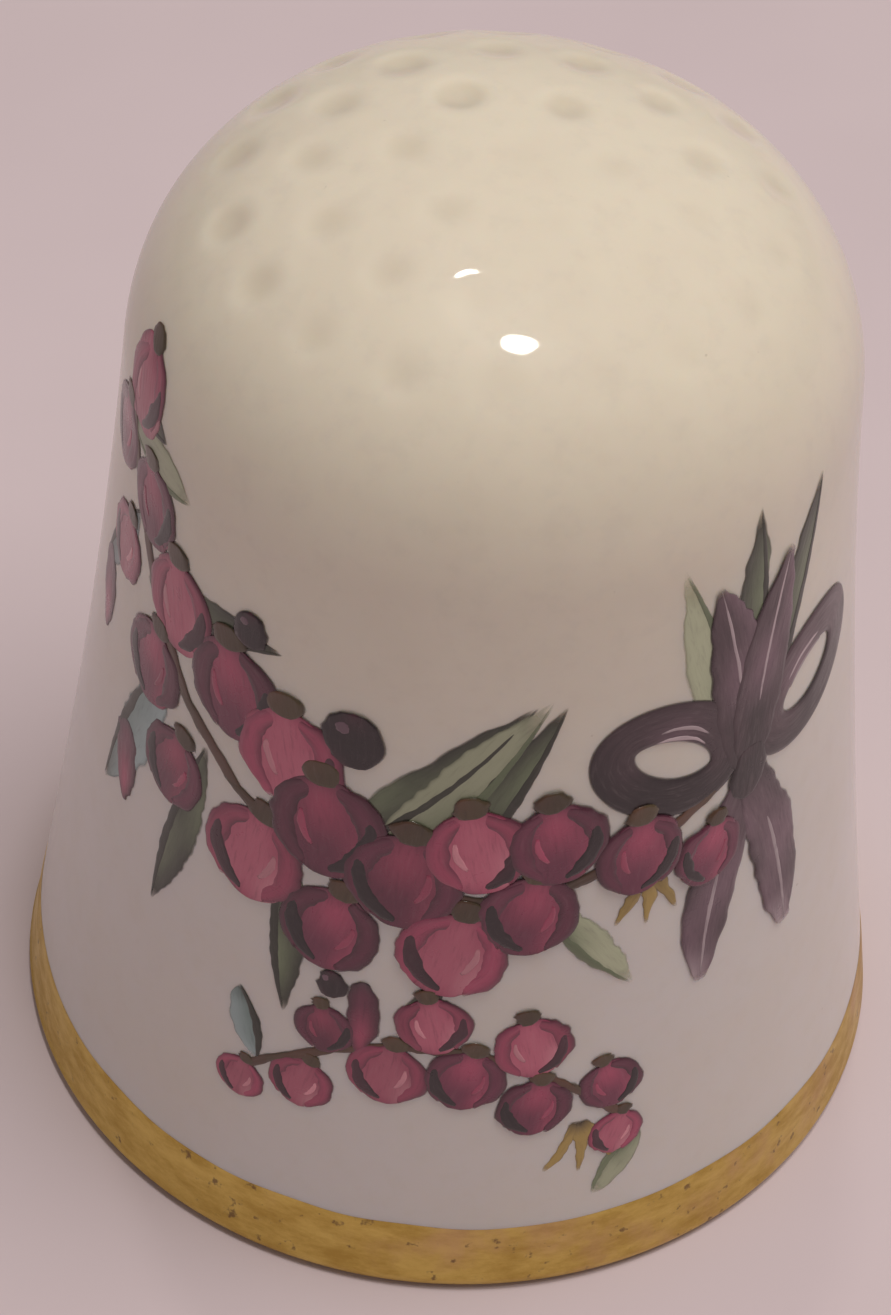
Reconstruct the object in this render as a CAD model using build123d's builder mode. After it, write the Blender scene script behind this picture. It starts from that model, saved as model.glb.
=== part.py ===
from build123d import *
from math import atan2, copysign, cos, degrees, radians, sin
import os

os.makedirs("parts", exist_ok=True)

# A bone-china sewing thimble.  Millimetres, +Z up, origin at the centre of the foot on the table
# plane.  The painted side faces -Y.  Azimuths are degrees round the wall from -Y towards +X.

# ---- driving dimensions -------------------------------------------------------------------------
FOOT_R = 12.0                 # glazed outer radius at the foot
SHOULDER_R = 9.18             # outer radius where the wall turns into the crown
SHOULDER_Z = 23.0
HEIGHT = 29.2                 # to the top of the glaze on the crown
FOOT_SLOPE = 0.15             # inward lean of the wall at the foot, mm per mm of height
WALL_SLOPE = 0.071            # inward lean just under the shoulder
SIDE_REACH = 7.6              # how far each end of the wall curve keeps its lean
CROWN_FULLNESS = 0.647        # 0.552 would be a true quarter ellipse, more is squarer

WALL = 1.45                   # biscuit thickness at the foot and up the wall
CROWN_WALL = 1.9              # biscuit thickness over the crown
INNER_SHOULDER_R = 7.6
INNER_SHOULDER_Z = 21.8
FOOT_ROUND = 0.25             # softened corners of the bare foot ring

GLAZE = 0.15                  # glass coat over the biscuit
GLAZE_STOP = 0.35             # the foot is wiped clean of glaze below this height
GILT = 0.06                   # burnished gold over the glaze
GILT_TOP = 2.3
ENAMEL = 0.10                 # painted colour over the glaze

DIMPLE_WIDTH = 1.55
DIMPLE_DEPTH = 0.17
DIMPLE_RINGS = (              # ring radius, dimples in the ring, azimuth of the first
    (0.0, 1, 0.0),
    (2.5, 6, 29.0),
    (4.75, 13, 21.0),
    (6.7, 18, 2.0),
)

FAR = 40.0                    # larger than the whole thimble
STROKE_ROOT = 5.0             # painted outlines are extruded outward from this radius
STROKE_REACH = 9.0
PAINT_R = 10.3                # mean radius used to turn azimuth steps into lengths
MIN_FLECK = 0.004             # volumes smaller than this are not paint strokes

DEGREE = radians(1.0) * PAINT_R           # mm round the wall for one degree of azimuth

# Two curves carry the spray: four control points each, as (azimuth, height).
GARLAND = ((-72.0, 24.5), (-48.0, 12.5), (2.0, 11.5), (42.0, 16.0))
LOW_SPRIG = ((-31.0, 5.6), (-12.0, 9.6), (10.0, 10.2), (29.0, 5.0))

# Bell flowers: curve, share of its run, mm to its left, width, lean, coat
BELLS = (
    (GARLAND, 0.02, 0.9, 2.1, 12.0, "rose"), (GARLAND, 0.06, -0.9, 2.0, -10.0, "plum"),
    (GARLAND, 0.11, 1.0, 2.1, 15.0, "plum"), (GARLAND, 0.15, -1.5, 1.9, -14.0, "rose"),
    (GARLAND, 0.20, 1.3, 2.4, 10.0, "rose"), (GARLAND, 0.25, -1.0, 2.2, -8.0, "plum"),
    (GARLAND, 0.30, 2.2, 2.6, 12.0, "plum"), (GARLAND, 0.34, -1.9, 2.1, -16.0, "plum"),
    (GARLAND, 0.41, 2.4, 2.7, 10.0, "rose"), (GARLAND, 0.45, -1.2, 2.6, -10.0, "rose"),
    (GARLAND, 0.50, 1.3, 2.8, 8.0, "plum"), (GARLAND, 0.55, -1.8, 2.4, -14.0, "plum"),
    (GARLAND, 0.61, 0.6, 2.7, -5.0, "plum"), (GARLAND, 0.67, -1.6, 2.5, -12.0, "rose"),
    (GARLAND, 0.70, 1.8, 2.4, 12.0, "rose"), (GARLAND, 0.75, -0.5, 2.3, -8.0, "plum"),
    (GARLAND, 0.80, 1.6, 2.3, 10.0, "plum"), (GARLAND, 0.88, 0.0, 2.2, 0.0, "plum"),
    (GARLAND, 0.94, -1.6, 1.8, -12.0, "plum"), (LOW_SPRIG, 0.04, -0.3, 1.2, -10.0, "rose"),
    (LOW_SPRIG, 0.16, -0.9, 1.5, -14.0, "rose"), (LOW_SPRIG, 0.28, 0.6, 1.4, 10.0, "plum"),
    (LOW_SPRIG, 0.38, -1.0, 1.8, -8.0, "rose"), (LOW_SPRIG, 0.50, 0.7, 1.7, 12.0, "rose"),
    (LOW_SPRIG, 0.60, -1.0, 1.8, -12.0, "plum"), (LOW_SPRIG, 0.70, 0.6, 1.8, 10.0, "rose"),
    (LOW_SPRIG, 0.80, -1.1, 1.7, -10.0, "plum"), (LOW_SPRIG, 0.88, 0.5, 1.5, 15.0, "plum"),
    (LOW_SPRIG, 0.97, -0.5, 1.3, -15.0, "rose"),
)
BELL_TALL = 1.12                          # a bell's height for its width
CRESCENT_WIDTH, CRESCENT_BOW = 0.24, 0.16  # shares of the bell's width
CRESCENT_FOOT, CRESCENT_HEAD = (-0.05, -0.50), (0.45, 0.22)
CAP_WIDTH, CAP_TALL, CAP_RISE = 0.44, 0.28, 0.60

# Hanging buds and berries: curve, share, mm to its left, width
BUDS = ((GARLAND, 0.19, -3.6, 1.3), (GARLAND, 0.32, -4.3, 1.4), (GARLAND, 0.60, -4.3, 1.1))
BUD_TALL = 2.5
BERRIES = ((GARLAND, 0.47, 4.3, 1.7), (GARLAND, 0.24, 4.0, 1.1), (LOW_SPRIG, 0.33, 2.0, 0.9))

# Leaves: curve, share where it springs, side (1 left, -1 right), length, width, coat
LEAVES = (
    (GARLAND, 0.02, 1, 2.6, 0.8, "green"), (GARLAND, 0.12, -1, 4.2, 1.1, "blue"),
    (GARLAND, 0.17, 1, 5.4, 1.1, "green"), (GARLAND, 0.25, -1, 6.6, 1.6, "blue"),
    (GARLAND, 0.34, -1, 6.4, 1.1, "green"), (GARLAND, 0.50, 1, 8.2, 1.2, "green"),
    (GARLAND, 0.56, 1, 8.0, 1.6, "pale"), (GARLAND, 0.64, 1, 7.2, 1.1, "green"),
    (GARLAND, 0.05, 1, 3.6, 1.4, "pale"), (GARLAND, 0.47, -1, 5.6, 1.1, "green"),
    (LOW_SPRIG, 0.10, 1, 2.4, 0.9, "blue"), (LOW_SPRIG, 0.44, 1, 2.8, 0.7, "green"),
    (LOW_SPRIG, 0.99, -1, 2.4, 0.9, "pale"), (GARLAND, 0.76, -1, 4.4, 1.0, "pale"),
)
LEAF_SPREAD = 64.0                        # degrees between a leaf and the run of its stem
GRASS = ((GARLAND, 0.53, -1.0), (LOW_SPRIG, 0.90, -0.8), (GARLAND, 0.88, -0.6))
GRASS_LENGTH, GRASS_WIDTH = 1.9, 0.42
GRASS_FAN = (-28.0, 0.0, 28.0)            # lean of each blade of a tuft
GARLAND_STEM, SPRIG_STEM = 0.45, 0.32     # stem widths
GARLAND_PIECES, SPRIG_PIECES = 10, 7      # strokes along each stem
STEM_OVERLAP = 0.3                        # of a stroke, past each of its ends

# How many times its bow each kind of stroke is wide
LEAF_FLATNESS, GRASS_FLATNESS, STEM_FLATNESS, BUD_FLATNESS = 7, 8, 9, 9

# The bow sits at the garland's right end; its two halves mirror each other.
KNOT = (46.0, 15.8)
KNOT_WIDTH, KNOT_TALL = 1.4, 1.7
TAIL_BEND, END_BEND = 0.3, 0.2
LOOP_REACH, LOOP_RISE, LOOP_TILT = 14.0, 1.6, 22.0
LOOP_WIDTH, LOOP_TALL, LOOP_HOLE_WIDTH, LOOP_HOLE_TALL = 5.0, 3.6, 2.5, 1.1
TAIL_REACH, TAIL_DROP, TAIL_WIDTH = 8.5, 6.4, 1.8
END_REACH, END_RISE, END_WIDTH = 7.5, 6.6, 1.9
KNOT_LEAVES = ((-14.0, 7.6, 1.3, "pale"), (0.5, 8.4, 1.3, "green"), (16.0, 8.0, 1.3, "green"))


# ---- shared outlines ----------------------------------------------------------------------------
def side_points(grow):
    """Control points of the outer wall curve, moved outward by grow."""
    return [
        (FOOT_R + grow, 0.0),
        (FOOT_R - FOOT_SLOPE * SIDE_REACH + grow, SIDE_REACH),
        (SHOULDER_R + WALL_SLOPE * SIDE_REACH + grow, SHOULDER_Z - SIDE_REACH),
        (SHOULDER_R + grow, SHOULDER_Z),
    ]


def crown_points(grow):
    """Control points of the crown curve, moved outward by grow."""
    rise = CROWN_FULLNESS * (HEIGHT - SHOULDER_Z)
    return [
        (SHOULDER_R + grow, SHOULDER_Z),
        (SHOULDER_R - WALL_SLOPE * rise + grow, SHOULDER_Z + rise + grow / 2),
        (CROWN_FULLNESS * SHOULDER_R + grow / 2, HEIGHT + grow),
        (0.0, HEIGHT + grow),
    ]


def inner_side_points(grow):
    """Control points of the inner wall curve; a positive grow widens the hollow."""
    foot = FOOT_R - GLAZE - WALL
    return [
        (foot + grow, 0.0),
        (foot - FOOT_SLOPE * SIDE_REACH + grow, SIDE_REACH),
        (INNER_SHOULDER_R + WALL_SLOPE * SIDE_REACH + grow, INNER_SHOULDER_Z - SIDE_REACH),
        (INNER_SHOULDER_R + grow, INNER_SHOULDER_Z),
    ]


def inner_crown_points(grow):
    """Control points of the hollow's roof; a positive grow raises it."""
    top = HEIGHT - GLAZE - CROWN_WALL
    rise = CROWN_FULLNESS * (top - INNER_SHOULDER_Z)
    return [
        (INNER_SHOULDER_R + grow, INNER_SHOULDER_Z),
        (INNER_SHOULDER_R - WALL_SLOPE * rise + grow, INNER_SHOULDER_Z + rise + grow / 2),
        (CROWN_FULLNESS * INNER_SHOULDER_R + grow / 2, top + grow),
        (0.0, top + grow),
    ]


def half_section(side, crown):
    """Closed half section between the axis, the table plane and a wall-and-crown curve."""
    with BuildSketch(Plane.XZ) as section:
        with BuildLine():
            Line((0.0, 0.0), side[0])
            Bezier(*side)
            Bezier(*crown)
            Line(crown[-1], (0.0, 0.0))
        make_face()
    return section.sketch


def crown_dimples():
    """Centre of the ball that presses each dimple."""
    curve = Bezier(*crown_points(0.0), mode=Mode.PRIVATE)
    ball_gap = dimple_ball() - DIMPLE_DEPTH
    centres = []
    for ring_radius, count, first in DIMPLE_RINGS:
        low, high = 0.0, 1.0
        for _ in range(40):
            middle = (low + high) / 2
            if (curve @ middle).X > ring_radius:
                low = middle
            else:
                high = middle
        spot, along = curve @ high, curve % high
        reach = ring_radius + ball_gap * along.Y
        level = spot.Y - ball_gap * along.X
        for step in range(count):
            turn = radians(first + 360.0 * step / count)
            centres.append((reach * sin(turn), -reach * cos(turn), level))
    return centres


def dimple_ball():
    """Radius of a ball that leaves a dimple of the wanted width and depth."""
    return ((DIMPLE_WIDTH / 2) ** 2 + DIMPLE_DEPTH ** 2) / (2 * DIMPLE_DEPTH)


def wall_plane(azimuth, height):
    """Upright plane facing outward at an azimuth, its origin near the axis."""
    turn = radians(azimuth)
    outward = Vector(sin(turn), -cos(turn), 0.0)
    return Plane(
        origin=outward * STROKE_ROOT + Vector(0.0, 0.0, height),
        x_dir=(cos(turn), sin(turn), 0.0),
        z_dir=outward,
    )


def dab(azimuth, height, width, tall, tilt=0.0, mode=Mode.ADD):
    """An oval touch of the brush, tilted anticlockwise by tilt degrees."""
    with BuildSketch(wall_plane(azimuth, height)) as outline:
        Ellipse(width / 2, tall / 2, rotation=tilt)
    extrude(outline.sketch, amount=STROKE_REACH, mode=mode)


def blade(azimuth, height, to_azimuth, to_height, width, bend=0.0, mode=Mode.ADD):
    """A stroke pointed at both ends; bend bows it to the left of its direction of travel."""
    half_run = PAINT_R * sin(radians(to_azimuth - azimuth) / 2)
    half_rise = (to_height - height) / 2
    length = (half_run ** 2 + half_rise ** 2) ** 0.5
    left = (-half_rise / length, half_run / length)
    crest, trough = bend + width / 2, bend - width / 2
    start, end = (-half_run, -half_rise), (half_run, half_rise)
    middle = wall_plane((azimuth + to_azimuth) / 2, (height + to_height) / 2)
    with BuildSketch(middle) as outline:
        with BuildLine():
            ThreePointArc(start, (left[0] * crest, left[1] * crest), end)
            ThreePointArc(end, (left[0] * trough, left[1] * trough), start)
        make_face()
    extrude(outline.sketch, amount=STROKE_REACH, mode=mode)


def on_curve(curve, share, aside=0.0):
    """Azimuth, height and run direction in degrees at a share of a curve, moved aside mm left."""
    near, far = 1.0 - share, share
    weights = (near ** 3, 3 * near * near * far, 3 * near * far * far, far ** 3)
    slopes = (-near * near, near * near - 2 * near * far, 2 * near * far - far * far, far * far)
    azimuth = sum(w * p[0] for w, p in zip(weights, curve))
    height = sum(w * p[1] for w, p in zip(weights, curve))
    run = sum(w * p[0] for w, p in zip(slopes, curve)) * DEGREE
    rise = sum(w * p[1] for w, p in zip(slopes, curve))
    heading = atan2(rise, run)
    return (
        azimuth - aside * sin(heading) / DEGREE,
        height + aside * cos(heading),
        degrees(heading),
    )


def beside(azimuth, height, lean, right, up):
    """Azimuth and height of a spot right and up, in mm, of a motif that leans."""
    turn = radians(lean)
    return (
        azimuth + (right * cos(turn) - up * sin(turn)) / DEGREE,
        height + right * sin(turn) + up * cos(turn),
    )


def bells(coat_name):
    """The bodies of the bell flowers of one colour."""
    for curve, share, aside, width, lean, coat in BELLS:
        if coat == coat_name:
            azimuth, height, _ = on_curve(curve, share, aside)
            dab(azimuth, height, width, width * BELL_TALL, lean)


def leaves(coat_name):
    """The leaves of one colour, springing from the curves and from the knot."""
    for curve, share, turned, length, width, coat in LEAVES:
        if coat == coat_name:
            azimuth, height, heading = on_curve(curve, share)
            tip = beside(azimuth, height, heading + turned * LEAF_SPREAD, length, 0.0)
            blade(azimuth, height, *tip, width, width / LEAF_FLATNESS)
    for across, up, width, coat in KNOT_LEAVES:
        if coat == coat_name:
            blade(*KNOT, KNOT[0] + across, KNOT[1] + up, width, width / LEAF_FLATNESS)


def stem(curve, width, pieces):
    """A stem along a curve, in short overlapping strokes."""
    for step in range(pieces):
        start = on_curve(curve, max(0.0, (step - STEM_OVERLAP) / pieces))
        end = on_curve(curve, min(1.0, (step + 1.0 + STEM_OVERLAP) / pieces))
        blade(start[0], start[1], end[0], end[1], width, width / STEM_FLATNESS)


def without_flecks(coat):
    """The coat's separate strokes, leaving out specks cut off by later strokes."""
    return Compound(children=[s for s in coat.part.solids() if s.volume > MIN_FLECK])


# ---- china body: one slip-cast, hollow biscuit --------------------------------------------------
with BuildPart() as biscuit_form:
    add(half_section(side_points(-GLAZE), crown_points(-GLAZE)))
    revolve(axis=Axis.Z)
    with Locations(*crown_dimples()):
        Sphere(dimple_ball() + GLAZE, mode=Mode.SUBTRACT)

with BuildPart() as hollow_form:
    add(half_section(inner_side_points(0.0), inner_crown_points(0.0)))
    revolve(axis=Axis.Z)

with BuildPart() as china_body:
    add(biscuit_form.part)
    add(hollow_form.part, mode=Mode.SUBTRACT)
    fillet(china_body.edges().group_by(Axis.Z)[0], radius=FOOT_ROUND)

china_body.part.label = "china_body"
export_step(china_body.part, "parts/china_body.step")

# ---- clear glaze, outside and inside, wiped off the foot ring -----------------------------------
with BuildPart() as outer_glaze:
    add(half_section(side_points(0.0), crown_points(0.0)))
    revolve(axis=Axis.Z)
    with Locations(*crown_dimples()):
        Sphere(dimple_ball(), mode=Mode.SUBTRACT)
    add(biscuit_form.part, mode=Mode.SUBTRACT)
    with BuildSketch(Plane.XY):
        Circle(FAR)
    extrude(amount=GLAZE_STOP, mode=Mode.SUBTRACT)

outer_glaze.part.label = "outer_glaze"
export_step(outer_glaze.part, "parts/outer_glaze.step")

with BuildPart() as inner_glaze:
    add(hollow_form.part)
    add(half_section(inner_side_points(-GLAZE), inner_crown_points(-GLAZE)))
    revolve(axis=Axis.Z, mode=Mode.SUBTRACT)
    with BuildSketch(Plane.XY):
        Circle(FAR)
    extrude(amount=GLAZE_STOP, mode=Mode.SUBTRACT)

inner_glaze.part.label = "inner_glaze"
export_step(inner_glaze.part, "parts/inner_glaze.step")

# ---- gilt foot band -----------------------------------------------------------------------------
with BuildPart() as gilt_foot_band:
    add(half_section(side_points(GILT), crown_points(GILT)))
    revolve(axis=Axis.Z)
    add(half_section(side_points(0.0), crown_points(0.0)))
    revolve(axis=Axis.Z, mode=Mode.SUBTRACT)
    with BuildSketch(Plane.XY):
        Circle(FAR)
    extrude(amount=GLAZE_STOP, mode=Mode.SUBTRACT)
    with BuildSketch(Plane.XY.offset(GILT_TOP)):
        Circle(FAR)
    extrude(amount=FAR, mode=Mode.SUBTRACT)

gilt_foot_band.part.label = "gilt_foot_band"
export_step(gilt_foot_band.part, "parts/gilt_foot_band.step")

# ---- painted enamels, the last colour laid first here so that each earlier one stops at it ------
with BuildPart() as enamel_skin:
    add(half_section(side_points(ENAMEL), crown_points(ENAMEL)))
    revolve(axis=Axis.Z)
    add(half_section(side_points(0.0), crown_points(0.0)))
    revolve(axis=Axis.Z, mode=Mode.SUBTRACT)

# near-black plum: the berries and a shaded crescent low on each bell
with BuildPart() as dark_buds:
    for curve, share, aside, width in BERRIES:
        azimuth, height, _ = on_curve(curve, share, aside)
        dab(azimuth, height, width, width)
    for curve, share, aside, width, lean, _ in BELLS:
        azimuth, height, _ = on_curve(curve, share, aside)
        hand = copysign(1.0, lean)
        start = beside(azimuth, height, lean, CRESCENT_FOOT[0] * hand * width, CRESCENT_FOOT[1] * width)
        end = beside(azimuth, height, lean, CRESCENT_HEAD[0] * hand * width, CRESCENT_HEAD[1] * width)
        blade(*start, *end, CRESCENT_WIDTH * width, -CRESCENT_BOW * hand * width)
    add(enamel_skin.part, mode=Mode.INTERSECT)

# deep plum bells and hanging buds
with BuildPart() as plum_blossoms:
    bells("plum")
    for curve, share, aside, width in BUDS:
        azimuth, height, _ = on_curve(curve, share, aside)
        top, bottom = height + BUD_TALL / 2, height - BUD_TALL / 2
        blade(azimuth, top, azimuth, bottom, width, width / BUD_FLATNESS)
    add(enamel_skin.part, mode=Mode.INTERSECT)
    add(dark_buds.part, mode=Mode.SUBTRACT)

# rose pink bells
with BuildPart() as rose_blossoms:
    bells("rose")
    add(enamel_skin.part, mode=Mode.INTERSECT)
    for upper in (dark_buds, plum_blossoms):
        add(upper.part, mode=Mode.SUBTRACT)

# aubergine ribbon bow: a knot, and on each side a loop, a hanging tail and a raised end
with BuildPart() as ribbon_bow:
    for hand in (-1.0, 1.0):
        middle = (KNOT[0] + hand * LOOP_REACH, KNOT[1] + LOOP_RISE)
        dab(*middle, LOOP_WIDTH, LOOP_TALL, hand * LOOP_TILT)
        dab(*middle, LOOP_HOLE_WIDTH, LOOP_HOLE_TALL, hand * LOOP_TILT, mode=Mode.SUBTRACT)
        blade(*KNOT, KNOT[0] + hand * TAIL_REACH, KNOT[1] - TAIL_DROP, TAIL_WIDTH,
              hand * TAIL_BEND)
        blade(*KNOT, KNOT[0] + hand * END_REACH, KNOT[1] + END_RISE, END_WIDTH,
              hand * END_BEND)
    dab(*KNOT, KNOT_WIDTH, KNOT_TALL)
    add(enamel_skin.part, mode=Mode.INTERSECT)
    for upper in (dark_buds, plum_blossoms, rose_blossoms):
        add(upper.part, mode=Mode.SUBTRACT)

# brown stems and the cap that each bell hangs from
with BuildPart() as brown_stems:
    stem(GARLAND, GARLAND_STEM, GARLAND_PIECES)
    stem(LOW_SPRIG, SPRIG_STEM, SPRIG_PIECES)
    for curve, share, aside, width, lean, _ in BELLS:
        azimuth, height, _ = on_curve(curve, share, aside)
        top = beside(azimuth, height, lean, 0.0, CAP_RISE * width)
        dab(*top, CAP_WIDTH * width, CAP_TALL * width, lean)
    add(enamel_skin.part, mode=Mode.INTERSECT)
    for upper in (dark_buds, plum_blossoms, rose_blossoms, ribbon_bow):
        add(upper.part, mode=Mode.SUBTRACT)

# dark green leaves
with BuildPart() as green_leaves:
    leaves("green")
    add(enamel_skin.part, mode=Mode.INTERSECT)
    for upper in (dark_buds, plum_blossoms, rose_blossoms, ribbon_bow, brown_stems):
        add(upper.part, mode=Mode.SUBTRACT)

# blue-green leaves
with BuildPart() as blue_leaves:
    leaves("blue")
    add(enamel_skin.part, mode=Mode.INTERSECT)
    for upper in (
        dark_buds, plum_blossoms, rose_blossoms, ribbon_bow, brown_stems, green_leaves,
    ):
        add(upper.part, mode=Mode.SUBTRACT)

# yellow-ochre tufts of grass, three blades each
with BuildPart() as ochre_grass:
    for curve, share, aside in GRASS:
        azimuth, height, _ = on_curve(curve, share, aside)
        for fan in GRASS_FAN:
            tip = beside(azimuth, height, fan, 0.0, -GRASS_LENGTH)
            blade(azimuth, height, *tip, GRASS_WIDTH, GRASS_WIDTH / GRASS_FLATNESS)
    add(enamel_skin.part, mode=Mode.INTERSECT)
    for upper in (
        dark_buds, plum_blossoms, rose_blossoms, ribbon_bow,
        brown_stems, green_leaves, blue_leaves,
    ):
        add(upper.part, mode=Mode.SUBTRACT)

# pale green leaves laid before everything else
with BuildPart() as green_washes:
    leaves("pale")
    add(enamel_skin.part, mode=Mode.INTERSECT)
    for upper in (
        dark_buds, plum_blossoms, rose_blossoms, ribbon_bow,
        brown_stems, green_leaves, blue_leaves, ochre_grass,
    ):
        add(upper.part, mode=Mode.SUBTRACT)

for label, coat in (
    ("dark_buds", dark_buds),
    ("plum_blossoms", plum_blossoms),
    ("rose_blossoms", rose_blossoms),
    ("ribbon_bow", ribbon_bow),
    ("brown_stems", brown_stems),
    ("green_leaves", green_leaves),
    ("blue_leaves", blue_leaves),
    ("ochre_grass", ochre_grass),
    ("green_washes", green_washes),
):
    strokes = without_flecks(coat)
    strokes.label = label
    export_step(strokes, f"parts/{label}.step")
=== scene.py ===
"""Looks for the hand-painted china thimble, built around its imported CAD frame.

Metres, Z up, the frame's own origin: the centre of the foot on the table plane.  Azimuths are
degrees round the wall from -Y towards +X, heights are millimetres above the table.
"""
import math

import bpy
import numpy as np
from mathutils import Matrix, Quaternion, Vector


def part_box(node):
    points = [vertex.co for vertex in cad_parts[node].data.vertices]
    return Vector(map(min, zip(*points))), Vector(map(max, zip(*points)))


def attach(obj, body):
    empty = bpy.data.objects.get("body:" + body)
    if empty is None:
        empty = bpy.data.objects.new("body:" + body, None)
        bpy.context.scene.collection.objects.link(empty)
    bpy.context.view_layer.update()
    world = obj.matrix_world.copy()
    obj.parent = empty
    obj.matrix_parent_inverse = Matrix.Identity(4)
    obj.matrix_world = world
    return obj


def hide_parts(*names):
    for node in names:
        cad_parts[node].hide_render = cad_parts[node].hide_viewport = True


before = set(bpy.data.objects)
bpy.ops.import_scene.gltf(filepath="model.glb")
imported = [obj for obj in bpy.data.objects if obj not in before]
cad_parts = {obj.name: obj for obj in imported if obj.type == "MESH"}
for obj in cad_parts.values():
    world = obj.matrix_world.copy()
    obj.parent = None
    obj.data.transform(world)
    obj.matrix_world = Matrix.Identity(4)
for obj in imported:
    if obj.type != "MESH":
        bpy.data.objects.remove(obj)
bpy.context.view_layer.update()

MM = 0.001

# ---- the china form, the same curves as the CAD, in millimetres --------------------------------
FOOT_R, SHOULDER_R, SHOULDER_Z, HEIGHT = 12.0, 9.18, 23.0, 29.2
FOOT_SLOPE, WALL_SLOPE, SIDE_REACH, FULLNESS = 0.15, 0.071, 7.6, 0.647
GLAZE, WALL, CROWN_WALL = 0.15, 1.45, 1.9
INNER_SHOULDER_R, INNER_SHOULDER_Z = 7.6, 21.8
CORNER = 0.3                                   # roundness of the foot's corners
GILT_TOP = 2.3
DIMPLE_RINGS = ((0.0, 1, 0.0), (2.5, 6, 29.0), (4.75, 13, 21.0), (6.7, 18, 2.0))
DIMPLE_R, DIMPLE_DEEP = 0.86, 0.095
FILLED, OPEN = 0.35, 1.5    # depth over DIMPLE_DEEP where glaze fills the dimples most and least
GLAZE_RUN = math.radians(-25.0)                # it fills them most at front right
TURN_STRAY, RING_STRAY = 1.5, 0.08             # how far a dimple strays, in degrees and in mm
SIZE_SPREAD, DEPTH_SPREAD = (0.92, 1.1), (0.7, 1.15)
DISH = 0.6                                     # how much fuller a dimple is than a plain cosine
LIP_RISE, LIP_AT, LIP_SPREAD = 0.05, 1.12, 0.16  # the raised lip, as shares of depth and radius
APEX_R = 0.02
CALM_R, CALM_Z = 3.0, 1.0                      # the wall's unevenness dies out inside these, in mm
BARE_BELOW = 0.02                              # the foot ring carries no glaze, in mm
WALL_ROWS, CROWN_ROWS, INNER_ROWS, CORNER_ROWS = 60, 90, 40, 9

# the frame fixes the real size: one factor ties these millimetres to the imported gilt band
_, gilt_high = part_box("gilt_foot_band")
UNIT = gilt_high.z / GILT_TOP


def bezier(points, t):
    """Points of a cubic curve at the parameters t, as two arrays."""
    (x0, y0), (x1, y1), (x2, y2), (x3, y3) = points
    s = 1 - t
    return (
        s ** 3 * x0 + 3 * s * s * t * x1 + 3 * s * t * t * x2 + t ** 3 * x3,
        s ** 3 * y0 + 3 * s * s * t * y1 + 3 * s * t * t * y2 + t ** 3 * y3,
    )


def side(foot_r, shoulder_r, shoulder_z):
    """Control points of the wall's curve, from the foot to the shoulder."""
    return [
        (foot_r, 0.0),
        (foot_r - FOOT_SLOPE * SIDE_REACH, SIDE_REACH),
        (shoulder_r + WALL_SLOPE * SIDE_REACH, shoulder_z - SIDE_REACH),
        (shoulder_r, shoulder_z),
    ]


def crown(shoulder_r, shoulder_z, top):
    """Control points of the crown's curve, from the shoulder to the apex."""
    rise = FULLNESS * (top - shoulder_z)
    return [
        (shoulder_r, shoulder_z),
        (shoulder_r - WALL_SLOPE * rise, shoulder_z + rise),
        (FULLNESS * shoulder_r, top),
        (0.0, top),
    ]


def wall_curve(foot_r, shoulder_r, shoulder_z, top, rows, crown_rows):
    """Radius and height from the foot to the apex."""
    t = np.linspace(0, 1, rows)
    r1, z1 = bezier(side(foot_r, shoulder_r, shoulder_z), t)
    t = np.linspace(0, 1, crown_rows)[1:]
    r2, z2 = bezier(crown(shoulder_r, shoulder_z, top), t)
    return np.concatenate([r1, r2]), np.concatenate([z1, z2])


table_r, table_z = wall_curve(FOOT_R, SHOULDER_R, SHOULDER_Z, HEIGHT, 400, 800)
table_nr, table_nz = np.gradient(table_z), -np.gradient(table_r)
table_len = np.hypot(table_nr, table_nz)
table_nr, table_nz = table_nr / table_len, table_nz / table_len


def wobble(azimuth, z):
    """Hand-cast unevenness of the wall, in mm, the same for the china and what is painted on it."""
    a = np.radians(azimuth)
    return (
        0.022 * np.sin(2 * a + 0.7) + 0.014 * np.sin(3 * a + 2.1 + 0.08 * z)
        + 0.010 * np.sin(5 * a + 0.21 * z) * np.sin(0.35 * z + 1.0)
    )


def on_wall(azimuth, z, lift):
    """Positions in metres of points on the outer wall, lifted lift mm off it."""
    r = np.interp(z, table_z, table_r)
    nr, nz = np.interp(z, table_z, table_nr), np.interp(z, table_z, table_nz)
    out = lift + wobble(azimuth, z)
    a = np.radians(azimuth)
    rr, zz = r + nr * out, z + nz * out
    return np.stack([rr * np.sin(a), -rr * np.cos(a), zz], -1) * UNIT


# ---- mesh and material helpers -----------------------------------------------------------------
def new_object(name, verts, faces, smooth=True):
    mesh = bpy.data.meshes.new(name)
    mesh.from_pydata([tuple(v) for v in verts], [], faces)
    mesh.update()
    if smooth:
        mesh.polygons.foreach_set("use_smooth", [True] * len(mesh.polygons))
    obj = bpy.data.objects.new(name, mesh)
    bpy.context.scene.collection.objects.link(obj)
    return obj


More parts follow.
